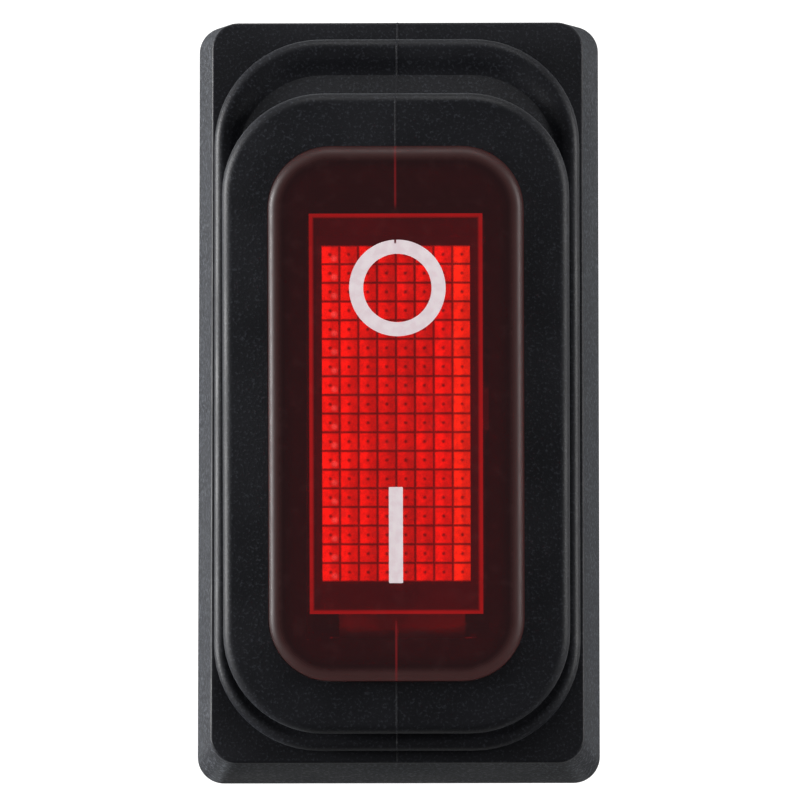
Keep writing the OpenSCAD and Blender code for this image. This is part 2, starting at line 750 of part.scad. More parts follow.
// A tab standing at y, its thickness along Y
module tab(y, high) {
    difference() {
        translate([0, y + tab_t / 2, 0]) rotate([90, 0, 0]) linear_extrude(tab_t) tab_outline(high);
        translate([0, y - tab_t, tab_low + tab_hole_end]) rotate([-90, 0, 0])
            cylinder(r = tab_hole_r, h = 2 * tab_t);
    }
}

// The middle terminal: its upper edge carries the blade between two prongs
module terminal_common() {
    prong_top = blade_low + blade_t + 0.48;
    prong_l = 3;
    prong_x = 2.2;
    play = 0.12;
    color("#c9cbc9") difference() {
        tab(0, prong_top);
        for (s = [0, 1]) mirror([s, 0, 0])
            box([prong_x, tab_w], [-tab_t, tab_t], [prong_top - prong_l, prong_top + beyond]);
        box([-waist - play, waist + play], [-tab_t, tab_t], [blade_low - touch, prong_top + beyond]);
    }
}

// An outer terminal: a tab whose upper end is folded in to a foot
module folded_tab(foot_end) {
    fold_in = 0.4;
    fold_out = fold_in + tab_t;
    tab(tab_pitch, foot_top - fold_out);
    translate([0, leg_y - fold_in, foot_top - fold_out]) rotate([90, 0, 90])
        translate([0, 0, -tab_w / 2]) rotate_extrude(angle = 90)
            translate([fold_in, 0]) square([tab_t, tab_w]);
    box([-tab_w / 2, tab_w / 2], [foot_end, leg_y - fold_in + eps], [foot_low, foot_top]);
}

module terminal_load() {
    color("#c9cbc9") difference() {
        folded_tab(blade_tail + foot_gap[0]);
        translate([0, rivet_y, foot_low - beyond]) cylinder(r = shank_r, h = tab_t + 2 * beyond);
    }
}

module terminal_return() {
    color("#c9cbc9") mirror([0, 1, 0]) folded_tab(blade_tail + foot_gap[1]);
}

// ---------- lamp springs: each carries the lamp's current from a terminal to a pad ----------

// Where a pad's underside lies once the rocker is tilted
function tilted(x, y, z) = [x, y * cos(tilt) - (z - pivot_z) * sin(tilt),
                            pivot_z + y * sin(tilt) + (z - pivot_z) * cos(tilt)];

module lamp_spring(x, y) {
    // Leaves room for the pad's slope across the coil's width
    room = lamp_wire_d / 2 + lamp_spring_r * sin(tilt) + touch;
    color("#c4c6c8") coil([x, y, spring_seat + lamp_wire_d / 2 + touch],
                          tilted(x, y, rocker_low - pad_t) - [0, 0, room],
                          lamp_spring_r, lamp_wire_d, lamp_turns);
}

module lamp_spring_load() { lamp_spring(pad_x, pad_y); }

module lamp_spring_return() { lamp_spring(0, -pad_y); }

housing();
boot();
boot_window();
rocker();
lamp_carrier();
neon_lamp();
resistor();
lead_load();
lead_link();
lead_return();
plunger();
plunger_spring();
contact_blade();
moving_contact();
fixed_contact();
terminal_common();
terminal_load();
terminal_return();
lamp_spring_load();
lamp_spring_return();
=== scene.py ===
import math

import bmesh
import bpy
from mathutils import Matrix, Vector


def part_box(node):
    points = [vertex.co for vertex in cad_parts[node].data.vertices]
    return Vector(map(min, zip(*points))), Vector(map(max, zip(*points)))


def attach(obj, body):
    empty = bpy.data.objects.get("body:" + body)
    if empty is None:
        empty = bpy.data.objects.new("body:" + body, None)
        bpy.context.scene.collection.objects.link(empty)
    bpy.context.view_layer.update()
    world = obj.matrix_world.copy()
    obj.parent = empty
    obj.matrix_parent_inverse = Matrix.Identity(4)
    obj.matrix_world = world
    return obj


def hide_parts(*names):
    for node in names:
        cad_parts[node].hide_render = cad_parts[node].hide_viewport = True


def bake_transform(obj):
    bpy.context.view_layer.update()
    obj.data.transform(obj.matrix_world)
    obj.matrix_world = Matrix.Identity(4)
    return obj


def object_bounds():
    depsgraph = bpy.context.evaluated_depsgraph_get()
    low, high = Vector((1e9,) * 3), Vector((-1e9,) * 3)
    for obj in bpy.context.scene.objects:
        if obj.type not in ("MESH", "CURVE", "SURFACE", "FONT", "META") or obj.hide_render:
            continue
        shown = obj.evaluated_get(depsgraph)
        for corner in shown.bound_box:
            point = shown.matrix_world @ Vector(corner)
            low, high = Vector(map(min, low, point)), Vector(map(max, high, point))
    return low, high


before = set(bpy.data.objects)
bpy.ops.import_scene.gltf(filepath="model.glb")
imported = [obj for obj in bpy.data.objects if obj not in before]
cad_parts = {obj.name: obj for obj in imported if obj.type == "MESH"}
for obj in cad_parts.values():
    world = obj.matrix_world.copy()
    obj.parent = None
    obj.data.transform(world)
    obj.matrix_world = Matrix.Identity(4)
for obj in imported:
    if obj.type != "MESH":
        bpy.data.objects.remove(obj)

cad_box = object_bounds()

# ---------- Housing ----------
# The body that snaps into the panel: one black nylon moulding with a bezel, two sprung wings
# and the well that holds the mechanism. Its mould is spark-eroded, which leaves a fine satin.

MM = 0.001


def add(tree, kind, wires=(), **settings):
    """A shader node with its settings made and its inputs wired or set."""
    node = tree.nodes.new("ShaderNode" + kind)
    for setting, value in settings.items():
        setattr(node, setting, value)
    for socket, source in dict(wires).items():
        if isinstance(source, bpy.types.NodeSocket):
            tree.links.new(source, node.inputs[socket])
        else:
            node.inputs[socket].default_value = source
    return node


def calc(tree, operation, *values):
    """A Math node's result."""
    return add(tree, "Math", enumerate(values), operation=operation).outputs[0]


def ramp(tree, value, low, high, to_low, to_high):
    """Value taken from low..high to to_low..to_high along a smooth step."""
    return add(tree, "MapRange", {"Value": value, "From Min": low, "From Max": high,
                                  "To Min": to_low, "To Max": to_high},
               interpolation_type="SMOOTHSTEP").outputs["Result"]


def tint(tree, share, one, other, blend_type="MIX"):
    """Two colours mixed by a share."""
    mix = add(tree, "Mix", {0: share, 6: one, 7: other}, data_type="RGBA", blend_type=blend_type)
    return mix.outputs[2]


def new_group(name, takes, gives):
    """An empty shader node group with named inputs and outputs."""
    group = bpy.data.node_groups.new(name, "ShaderNodeTree")
    for socket, kind in takes:
        group.interface.new_socket(socket, in_out="INPUT", socket_type="NodeSocket" + kind)
    for socket, kind in gives:
        group.interface.new_socket(socket, in_out="OUTPUT", socket_type="NodeSocket" + kind)
    return group, group.nodes.new("NodeGroupInput").outputs, group.nodes.new("NodeGroupOutput").inputs


def new_finish(name, plain):
    """A material whose shader's plain values are set, with its tree, shader and object coordinates."""
    material = bpy.data.materials.new(name)
    material.use_nodes = True
    tree = material.node_tree
    shader = tree.nodes["Principled BSDF"]
    for socket, value in plain.items():
        shader.inputs[socket].default_value = value
    coords = add(tree, "TexCoord").outputs["Object"]
    return material, tree, shader, coords


# Spark-eroded skin of a moulding: fine pits, a light speckle and a slow drift of tone
eroded, given, out = new_group(
    "Eroded skin",
    [("Vector", "Vector"), ("Color", "Color"), ("Speck Color", "Color"), ("Specks", "Float"),
     ("Grain", "Float"), ("Roughness", "Float")],
    [("Color", "Color"), ("Roughness", "Float"), ("Height", "Float")])
pits = add(eroded, "TexNoise", {"Vector": given["Vector"], "Scale": given["Grain"], "Detail": 2.0,
                                "Roughness": 0.6}).outputs["Fac"]
drift = add(eroded, "TexNoise", {"Vector": given["Vector"], "Scale": 260.0, "Detail": 3.0}).outputs["Fac"]
specks = calc(eroded, "MULTIPLY", ramp(eroded, pits, 0.52, 0.72, 0.0, 1.0), given["Specks"])
tone = ramp(eroded, drift, 0.3, 0.7, 0.85, 1.15)
toned = add(eroded, "VectorMath", {0: given["Color"], 1: (1, 1, 1)}, operation="MULTIPLY")
eroded.links.new(add(eroded, "CombineXYZ", {"X": tone, "Y": tone, "Z": tone}).outputs[0], toned.inputs[1])
eroded.links.new(tint(eroded, specks, toned.outputs[0], given["Speck Color"]), out["Color"])
eroded.links.new(calc(eroded, "ADD", given["Roughness"], ramp(eroded, drift, 0.3, 0.7, -0.05, 0.05)),
                 out["Roughness"])
eroded.links.new(pits, out["Height"])


def moulded(name, colour, speck_colour, specks, roughness, grain, depth, plain=()):
    """A moulded plastic or rubber. grain is how many pits there are in a metre, depth is theirs in metres."""
    material, tree, shader, coords = new_finish(name, dict(plain))
    skin = add(tree, "Group", node_tree=eroded)
    tree.links.new(coords, skin.inputs["Vector"])
    for socket, value in (("Color", (*colour, 1)), ("Speck Color", (*speck_colour, 1)), ("Specks", specks),
                          ("Grain", grain), ("Roughness", roughness)):
        skin.inputs[socket].default_value = value
    tree.links.new(skin.outputs["Color"], shader.inputs["Base Color"])
    tree.links.new(skin.outputs["Roughness"], shader.inputs["Roughness"])
    bump = add(tree, "Bump", {"Height": skin.outputs["Height"], "Distance": depth, "Strength": 1.0})
    tree.links.new(bump.outputs["Normal"], shader.inputs["Normal"])
    return material


def dress(node, material):
    """Gives a CAD node its finish."""
    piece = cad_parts[node]
    for place in piece.material_slots:
        place.material = material


black_nylon = moulded("Black nylon", (0.012, 0.012, 0.013), (0.06, 0.06, 0.065), 0.35, 0.42, 9000.0, 0.006 * MM,
                      {"Specular IOR Level": 0.4})
dress("housing", black_nylon)

# ---------- Terminals ----------
# Three tabs stamped from brass strip and tinned before stamping, so that their faces are grey tin
# with rolling marks along them, and their cut edges show the brass. They are pressed into the floor.

# Rolled or drawn metal: fine lines along one direction, and a dull bloom in patches
rolled, given, out = new_group(
    "Rolled metal",
    [("Vector", "Vector"), ("Color", "Color"), ("Bloom Color", "Color"), ("Roughness", "Float")],
    [("Color", "Color"), ("Roughness", "Float"), ("Height", "Float")])
lines = add(rolled, "TexNoise", {"Vector": given["Vector"], "Scale": 1.0, "Detail": 2.0}).outputs["Fac"]
bloom = ramp(rolled, add(rolled, "TexNoise", {"Vector": given["Vector"], "Scale": 0.12, "Detail": 4.0})
             .outputs["Fac"], 0.45, 0.7, 0.0, 0.7)
rolled.links.new(tint(rolled, bloom, given["Color"], given["Bloom Color"]), out["Color"])
rough = calc(rolled, "ADD", given["Roughness"], ramp(rolled, lines, 0.3, 0.7, -0.06, 0.06))
rolled.links.new(calc(rolled, "MULTIPLY_ADD", bloom, 0.15, rough), out["Roughness"])
rolled.links.new(lines, out["Height"])


def metal(name, colour, bloom_colour, roughness, stretch, depth):
    """A rolled or drawn metal. stretch is how many lines there are in a metre along X, Y and Z."""
    material, tree, shader, coords = new_finish(name, {"Metallic": 1.0})
    place = add(tree, "Mapping", {"Vector": coords, "Scale": stretch})
    skin = add(tree, "Group", node_tree=rolled)
    tree.links.new(place.outputs[0], skin.inputs["Vector"])
    for socket, value in (("Color", (*colour, 1)), ("Bloom Color", (*bloom_colour, 1)),
                          ("Roughness", roughness)):
        skin.inputs[socket].default_value = value
    tree.links.new(skin.outputs["Color"], shader.inputs["Base Color"])
    tree.links.new(skin.outputs["Roughness"], shader.inputs["Roughness"])
    bump = add(tree, "Bump", {"Height": skin.outputs["Height"], "Distance": depth, "Strength": 0.6})
    tree.links.new(bump.outputs["Normal"], shader.inputs["Normal"])
    return material, tree, shader, skin


tin, tree, shader, skin = metal("Tinned brass", (0.72, 0.71, 0.68), (0.50, 0.49, 0.46), 0.34,
                                (6000.0, 6000.0, 500.0), 0.002 * MM)
face = add(tree, "SeparateXYZ", {"Vector": add(tree, "TexCoord").outputs["Normal"]}).outputs["X"]
cut = ramp(tree, calc(tree, "ABSOLUTE", face), 0.8, 0.9, 0.0, 1.0)
tree.links.new(tint(tree, cut, skin.outputs["Color"], (0.70, 0.50, 0.22, 1)), shader.inputs["Base Color"])
for node in ("terminal_common", "terminal_load", "terminal_return"):
    dress(node, tin)

# ---------- Contact blade and contacts ----------
# A shallow vee of rolled copper that seesaws on the middle terminal, and two silver rivets with
# domed wear marks: one upset in the blade, the other in the foot of the load terminal.

copper = metal("Rolled copper", (0.83, 0.44, 0.27), (0.45, 0.20, 0.11), 0.30, (6000.0, 700.0, 6000.0), 0.002 * MM)[0]
silver = metal("Contact silver", (0.88, 0.87, 0.84), (0.42, 0.39, 0.35), 0.28, (3000.0, 3000.0, 3000.0), 0.003 * MM)[0]
dress("contact_blade", copper)
dress("moving_contact", silver)
dress("fixed_contact", silver)

# ---------- Plunger and its spring ----------
# A white nylon cup with a round tip that slides in the carrier's tube, and a coil of spring steel
# inside it, which presses the tip on the blade.

TILT = math.radians(9.2)             # the rocker's turn from level, pressed at its -Y end
PIVOT = Vector((0, 0, -1.6 * MM))    # where the rocker's trunnions are
WIRE_FACES = 10
TURN_STEPS = 28


def new_piece(name, bm, material, smooth_below=35.0):
    """The piece itself: smooth except at its sharp edges, with its place in its mesh."""
    for f in bm.faces:
        f.smooth = True
    for e in bm.edges:
        e.smooth = e.calc_face_angle(0.0) < math.radians(smooth_below)
    mesh = bpy.data.meshes.new(name)
    bm.to_mesh(mesh)
    bm.free()
    for one in material if isinstance(material, (list, tuple)) else [material]:
        mesh.materials.append(one)
    piece = bpy.data.objects.new(name, mesh)
    bpy.context.scene.collection.objects.link(piece)
    return piece


def coil(name, low, high, radius, wire, turns, material, rocked):
    """A compression spring from low to high, wound from round wire."""
    bm = bmesh.new()
    middle = radius - wire / 2
    place = Matrix.Translation(Vector(low) + Vector((middle, 0, 0))) @ Matrix.Rotation(math.pi / 2, 4, "X")
    start = bmesh.ops.create_circle(bm, cap_ends=True, segments=WIRE_FACES, radius=wire / 2, matrix=place)
    steps = int(turns * TURN_STEPS)
    bmesh.ops.spin(bm, geom=start["verts"] + bm.edges[:] + bm.faces[:], cent=low, axis=(0, 0, 1),
                   dvec=(Vector(high) - Vector(low)) / steps, angle=math.tau * turns, steps=steps)
    bmesh.ops.recalc_face_normals(bm, faces=bm.faces)
    if rocked:
        bmesh.ops.rotate(bm, cent=PIVOT, matrix=Matrix.Rotation(TILT, 3, "X"), verts=bm.verts)
    return new_piece(name, bm, material, 60.0)


white_nylon = moulded("White nylon", (0.80, 0.78, 0.72), (0.90, 0.89, 0.85), 0.3, 0.45, 6000.0, 0.004 * MM)
spring_wire = metal("Spring steel", (0.62, 0.62, 0.63), (0.36, 0.34, 0.33), 0.25, (4000.0, 4000.0, 900.0), 0.001 * MM)[0]
dress("plunger", white_nylon)

low, high = (0, 0, -6.97 * MM), (0, 0, -2.53 * MM)
spring = coil("plunger_coil", low, high, 0.7 * MM, 0.22 * MM, 8, spring_wire, True)
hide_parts("plunger_spring")
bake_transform(spring)

# ---------- Lamp, resistor and their carrier ----------
# A white nylon tray clipped into the rocker holds a neon lamp and its series resistor by their
# wires. Two springs bring the current from the outer terminals to pads under the tray.

dress("lamp_carrier", white_nylon)

glass, tree, shader, coords = new_finish("Neon lamp glass", {"Transmission Weight": 1.0, "Roughness": 0.03,
                                                             "IOR": 1.5, "Emission Strength": 1.0})
level = add(tree, "Mapping", {"Vector": coords, "Rotation": (-TILT, 0, 0),
                              "Location": PIVOT - Matrix.Rotation(-TILT, 3, "X") @ PIVOT}).outputs[0]
along = add(tree, "SeparateXYZ", {"Vector": level})
lit = calc(tree, "MULTIPLY", ramp(tree, along.outputs["Y"], -6.4 * MM, -4.6 * MM, 0.0, 1.0),
           ramp(tree, along.outputs["Y"], -1.4 * MM, 1.0 * MM, 1.0, 0.1))
flame = add(tree, "TexNoise", {"Vector": level, "Scale": 700.0, "Detail": 1.0}).outputs["Fac"]
tree.links.new(tint(tree, calc(tree, "MULTIPLY", lit, ramp(tree, flame, 0.3, 0.7, 0.6, 1.0)),
                    (0.10, 0.02, 0.005, 1), (1.0, 0.36, 0.10, 1)), shader.inputs["Emission Color"])
tree.links.new(tint(tree, ramp(tree, flame, 0.2, 0.8, 0.0, 1.0), (0.96, 0.93, 0.90, 1), (0.99, 0.97, 0.95, 1)),
               shader.inputs["Base Color"])
dress("neon_lamp", glass)

lacquer, tree, shader, coords = new_finish("Resistor lacquer", {"Coat Weight": 0.4, "Coat Roughness": 0.1})
level = add(tree, "Mapping", {"Vector": coords, "Rotation": (-TILT, 0, 0),
                              "Location": PIVOT - Matrix.Rotation(-TILT, 3, "X") @ PIVOT}).outputs[0]
along = add(tree, "SeparateXYZ", {"Vector": level}).outputs["Y"]
grit = add(tree, "TexNoise", {"Vector": coords, "Scale": 5000.0, "Detail": 2.0}).outputs["Fac"]
colour = tint(tree, ramp(tree, grit, 0.3, 0.7, 0.0, 1.0), (0.55, 0.40, 0.22, 1), (0.66, 0.50, 0.29, 1))
for at, band in ((3.5, (0.16, 0.05, 0.02, 1)), (4.2, (0.05, 0.30, 0.08, 1)), (4.9, (0.70, 0.52, 0.05, 1)),
                 (5.9, (0.60, 0.42, 0.12, 1))):
    near = ramp(tree, calc(tree, "ABSOLUTE", calc(tree, "SUBTRACT", along, at * MM)), 0.15 * MM, 0.2 * MM, 1.0, 0.0)
    colour = tint(tree, near, colour, band)
tree.links.new(colour, shader.inputs["Base Color"])
tree.links.new(ramp(tree, grit, 0.3, 0.7, 0.35, 0.5), shader.inputs["Roughness"])
dress("resistor", lacquer)

tinned_wire = metal("Tinned wire", (0.74, 0.74, 0.73), (0.50, 0.49, 0.48), 0.30, (5000.0, 800.0, 5000.0), 0.001 * MM)[0]
for node in ("lead_load", "lead_link", "lead_return"):
    dress(node, tinned_wire)

for end, node, side in (("load", "lamp_spring_load", 1), ("return", "lamp_spring_return", -1)):
    lowest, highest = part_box(node)
    radius, wire = 0.7 * MM, 0.25 * MM
    # Each spring leans, from its seat on the terminal's foot to the pad under the tilted tray
    outer, inner = (highest.y, lowest.y) if side > 0 else (lowest.y, highest.y)
    near_foot = [v.co.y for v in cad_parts[node].data.vertices if v.co.z < lowest.z + 2 * wire]
    foot_y = (min(near_foot) + max(near_foot)) / 2
    near_head = [v.co.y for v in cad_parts[node].data.vertices if v.co.z > highest.z - 2 * wire]
    head_y = (min(near_head) + max(near_head)) / 2
    x = (lowest.x + highest.x) / 2
    start, stop = Vector((x, foot_y, lowest.z + wire / 2)), Vector((x, head_y, highest.z - wire / 2))
    spring = coil("lamp_coil_" + end, start, stop, radius, wire, 9, spring_wire, False)
    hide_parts(node)
    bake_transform(spring)

# ---------- Rocker ----------
# One moulding of clear red polycarbonate on two trunnions. Under its face it has 8 by 18 small
# pyramids, which catch the lamp's light from below and send it up through the face.

ROCKER = (8.4 * MM, 19.4 * MM)
ROCKER_TOP, ROCKER_LOW = 8.95 * MM, -3.4 * MM
CHAMBER = (7.1 * MM, 16.2 * MM)
CHAMBER_TOP = 7.75 * MM
CELLS, PITCH, PYRAMID = (8, 18), 0.9 * MM, 0.42 * MM
CHAMFER, DRAFT = 0.25 * MM, 0.5 * MM
TRUNNION, TRUNNION_END = 1.05 * MM, 5.3 * MM


def rocked(bm):
    """Turns what was drawn level to its place with the switch on."""
    bmesh.ops.rotate(bm, cent=PIVOT, matrix=Matrix.Rotation(TILT, 3, "X"), verts=bm.verts)


def level_coords(tree, coords):
    """Object coordinates turned back to the level rocker's own, as X, Y and Z."""
    turned = add(tree, "Mapping", {"Vector": coords, "Rotation": (-TILT, 0, 0),
                                   "Location": PIVOT - Matrix.Rotation(-TILT, 3, "X") @ PIVOT})
    return turned.outputs[0], add(tree, "SeparateXYZ", {"Vector": turned.outputs[0]}).outputs


# Clear red plastic, a little cloudy, given painted lamp light: a faint painted glow inside, and a bright painted glow
# along the edges of its face
clear_red, tree, shader, coords = new_finish(
    "Clear red polycarbonate", {"Transmission Weight": 1.0, "IOR": 1.5, "Roughness": 0.06,
                                "Emission Strength": 1.0})
level, (x, y, z) = level_coords(tree, coords)
from_side = calc(tree, "SUBTRACT", ROCKER[0] / 2, calc(tree, "ABSOLUTE", x))
from_end = calc(tree, "SUBTRACT", ROCKER[1] / 2, calc(tree, "ABSOLUTE", y))
# The edges of the face get a bright painted glow: lamp light painted in as emission.
edge = ramp(tree, calc(tree, "MINIMUM", from_side, from_end), 0.12 * MM, 0.27 * MM, 1.0, 0.0)
edge = calc(tree, "MULTIPLY", edge, ramp(tree, z, ROCKER_TOP - 0.8 * MM, ROCKER_TOP - 0.2 * MM, 0.0, 1.0))
cloud = add(tree, "TexNoise", {"Vector": level, "Scale": 300.0, "Detail": 2.0}).outputs["Fac"]
# A faint painted glow through the whole rocker: lamp light painted in as emission, cloudy like its colour.
painted_lamp_glow = tint(tree, ramp(tree, cloud, 0.3, 0.7, 0.0, 1.0), (0.028, 0.0025, 0.011, 1), (0.040, 0.0035, 0.016, 1))
tree.links.new(tint(tree, edge, painted_lamp_glow, (0.60, 0.085, 0.055, 1)), shader.inputs["Emission Color"])
tree.links.new(tint(tree, ramp(tree, cloud, 0.3, 0.7, 0.0, 1.0), (0.40, 0.025, 0.035, 1), (0.46, 0.032, 0.042, 1)),
               shader.inputs["Base Color"])

# The pyramids' own facets glow with painted lamp light: painted shade along the valleys and at each tip, each facet
# painted lighter on its left, dimmer towards the middle, the right row painted brighter and yellower, and a painted
# glint in each cell of the left row
lit_red, tree, shader, coords = new_finish(
    "Lit pyramids", {"Roughness": 0.35, "Emission Strength": 1.0})
level, (x, y, z) = level_coords(tree, coords)
cell_x, cell_y = (calc(tree, "DIVIDE", v, PITCH) for v in (x, y))
in_x, in_y = (calc(tree, "FRACT", v) for v in (cell_x, cell_y))
number = add(tree, "CombineXYZ", {"X": calc(tree, "FLOOR", cell_x), "Y": calc(tree, "FLOOR", cell_y)}).outputs[0]
chance = add(tree, "TexWhiteNoise", {"Vector": number}, noise_dimensions="3D").outputs["Value"]
off_x, off_y = (calc(tree, "ABSOLUTE", calc(tree, "SUBTRACT", v, 0.5)) for v in (in_x, in_y))
# Painted shade along the valleys and at each tip.
valley = ramp(tree, calc(tree, "MAXIMUM", off_x, off_y), 0.40, 0.475, 1.0, 0.16)
from_tip = add(tree, "VectorMath", {0: add(tree, "CombineXYZ", {"X": off_x, "Y": off_y}).outputs[0]},
               operation="LENGTH").outputs["Value"]
tip = ramp(tree, from_tip, 0.03, 0.15, 0.2, 1.0)
# Painted shade across each facet, lighter on its left, and dimmer towards the middle.
slope = ramp(tree, in_x, 0.35, 0.65, 1.22, 0.80)
grit = add(tree, "TexNoise", {"Vector": level, "Scale": 3200.0, "Detail": 2.0}).outputs["Fac"]
middle = ramp(tree, calc(tree, "ABSOLUTE", x), 0.5 * MM, 3.4 * MM, 0.86, 1.06)
bright = calc(tree, "MULTIPLY", valley, tip)
for share in (slope, middle, ramp(tree, chance, 0.0, 1.0, 0.9, 1.1), ramp(tree, grit, 0.35, 0.65, 0.86, 1.14)):
    bright = calc(tree, "MULTIPLY", bright, share)
# Painted lamp light: the right row brighter and yellower, and a painted glint in each cell of the left row.
right_row = ramp(tree, x, 2.68 * MM, 2.72 * MM, 0.0, 1.0)
left_row = ramp(tree, x, -2.72 * MM, -2.68 * MM, 1.0, 0.0)
hue = tint(tree, right_row, (2.30, 0.80, 0.03, 1), (2.5, 2.4, 0.12, 1))
painted_glint = add(tree, "VectorMath", {0: add(tree, "CombineXYZ", {"X": in_x, "Y": in_y}).outputs[0],
                                 1: (0.72, 0.30, 0)}, operation="DISTANCE").outputs["Value"]
painted_glint = calc(tree, "MULTIPLY", ramp(tree, painted_glint, 0.05, 0.24, 1.0, 0.0), left_row)
hue = tint(tree, painted_glint, hue, (3.0, 11.0, 6.0, 1))
painted_lamp_glow = add(tree, "VectorMath", {0: hue, 1: add(tree, "CombineXYZ", {"X": bright, "Y": bright, "Z": bright}).outputs[0]},
           operation="MULTIPLY")
tree.links.new(painted_lamp_glow.outputs[0], shader.inputs["Emission Color"])
tree.links.new(tint(tree, grit, (0.25, 0.01, 0.01, 1), (0.35, 0.02, 0.02, 1)), shader.inputs["Base Color"])

bm = bmesh.new()
bmesh.ops.create_cube(bm, size=1.0)
bmesh.ops.scale(bm, vec=(*ROCKER, ROCKER_TOP - ROCKER_LOW), verts=bm.verts)
bmesh.ops.translate(bm, vec=(0, 0, (ROCKER_TOP + ROCKER_LOW) / 2), verts=bm.verts)
by_height = lambda f: f.calc_center_median().z
underside, face = min(bm.faces, key=by_height), max(bm.faces, key=by_height)
bmesh.ops.scale(bm, vec=(1, 1 - 2 * DRAFT / ROCKER[1], 1), verts=underside.verts)
bmesh.ops.bevel(bm, geom=face.edges[:], offset=CHAMFER, offset_type="OFFSET", affect="EDGES", segments=3,
                profile=0.5, material=-1, clamp_overlap=True)
# The chamber: drawn in from the underside, pushed up to the face, and cut into the pyramids' cells
underside = min(bm.faces, key=by_height)
bmesh.ops.inset_region(bm, faces=[underside], thickness=0.3 * MM, use_even_offset=True)
underside = min(bm.faces, key=lambda f: (round(by_height(f), 7), f.calc_area() > 150e-6, max(abs(v.co.y) for v in f.verts)))
mouth = [max(abs(v.co[i]) for v in underside.verts) for i in (0, 1)]
bmesh.ops.scale(bm, vec=(CHAMBER[0] / 2 / mouth[0], CHAMBER[1] / 2 / mouth[1], 1), verts=underside.verts)
pushed = bmesh.ops.extrude_face_region(bm, geom=[underside])["geom"]
bmesh.ops.delete(bm, geom=[underside], context="FACES_ONLY")
roof = [g for g in pushed if isinstance(g, bmesh.types.BMFace)][0]
bmesh.ops.translate(bm, vec=(0, 0, CHAMBER_TOP - ROCKER_LOW), verts=roof.verts)
in_roof = lambda item: all(abs(v.co.z - CHAMBER_TOP) < 1e-7 for v in item.verts)
for axis, count in enumerate(CELLS):
    for i in range(1, count):
        at, normal = Vector(), Vector()
        at[axis], normal[axis] = (i - count / 2) * PITCH, 1
        at.z = CHAMBER_TOP
        geom = [g for g in bm.faces[:] + bm.edges[:] if in_roof(g)] + [v for v in bm.verts if abs(v.co.z - CHAMBER_TOP) < 1e-7]
        bmesh.ops.bisect_plane(bm, geom=geom, plane_co=at, plane_no=normal)
cells = [f for f in bm.faces if in_roof(f)]
facets = bmesh.ops.poke(bm, faces=cells, offset=PYRAMID)["faces"]
for f in facets:
    f.material_index = 1
for side in (-1, 1):
    place = (Matrix.Translation((side * (ROCKER[0] / 2 + TRUNNION_END) / 2, 0, PIVOT.z)) @
             Matrix.Rotation(math.pi / 2, 4, "Y"))
    bmesh.ops.create_cone(bm, cap_ends=True, segments=40, radius1=TRUNNION, radius2=TRUNNION,
                          depth=TRUNNION_END - ROCKER[0] / 2, matrix=place)
rocked(bm)
rocker = new_piece("clear_rocker", bm, [clear_red, lit_red], 20.0)
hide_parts("rocker")
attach(rocker, "rocker")

# ---------- Window ----------
# A slab of clear dark red rubber, bonded under the boot's deck by a flange all round. It is hollowed
# below to clear the rocker, and the mould's parting line runs down its middle.

WINDOW = (12.3 * MM, 25.8 * MM, 3.0 * MM)
DECK_Z, WINDOW_TOP, WINDOW_WALL = 9.6 * MM, 10.29 * MM, 1.29 * MM
FOLD = 0.8 * MM
FLANGE = 0.6 * MM
WINDOW_EDGE = 0.45 * MM
CORNER_STEPS = 14


def outline(bm, size, inset, z):
    """A flat rounded rectangle drawn in by inset, at height z."""
    width, length, radius = size[0] - 2 * inset, size[1] - 2 * inset, max(0.3 * MM, size[2] - inset)
    grid = bmesh.ops.create_grid(bm, x_segments=1, y_segments=1, size=0.5)["verts"]
    bmesh.ops.scale(bm, vec=(width, length, 1), verts=grid)
    bmesh.ops.translate(bm, vec=(0, 0, z), verts=grid)
    rounded = bmesh.ops.bevel(bm, geom=grid, offset=radius, offset_type="OFFSET", affect="VERTICES",
                              segments=CORNER_STEPS, profile=0.5, material=-1)["verts"]
    return max(rounded[0].link_faces, key=lambda f: len(f.verts))


def skin(bm, rings, closed, share_layer=None):
    """Outlines bridged one to the next: closed on itself, or with its first and last filled in.
    They are bridged while they stand well apart, and each is then let down to its own height and turn."""
    apart = 20 * MM
    flats = [outline(bm, size, inset, i * apart) for i, (size, inset, z, share) in enumerate(rings)]
    loops, places = [f.edges[:] for f in flats], [f.verts[:] for f in flats]
    bmesh.ops.delete(bm, geom=flats if closed else flats[1:-1], context="FACES_ONLY")
    for one, other in zip(loops, loops[1:]):
        bmesh.ops.bridge_loops(bm, edges=one + other)
    if closed:
        bmesh.ops.translate(bm, vec=(0, 0, len(rings) * apart), verts=places[0])
        bmesh.ops.bridge_loops(bm, edges=loops[-1] + loops[0])
        bmesh.ops.translate(bm, vec=(0, 0, -len(rings) * apart), verts=places[0])
    for i, (verts, (size, inset, z, share)) in enumerate(zip(places, rings)):
        bmesh.ops.translate(bm, vec=(0, 0, z - i * apart), verts=verts)
        bmesh.ops.rotate(bm, cent=PIVOT, matrix=Matrix.Rotation(TILT * share, 3, "X"), verts=verts)
        for v in verts:
            if share_layer is not None:
                v[share_layer] = share
    bmesh.ops.recalc_face_normals(bm, faces=bm.faces)


def grown(size, by):
    return tuple(s + k * by for s, k in zip(size, (2, 2, 1)))


def arc(size, start, radius, z, share, first, last, steps=6):
    """Outlines round a quarter circle whose centre lies start inside the outline, at height z."""
    angles = [math.radians(first + (last - first) * i / steps) for i in range(steps + 1)]
    return [(size, start - radius * math.cos(a), z + radius * math.sin(a), share) for a in angles]
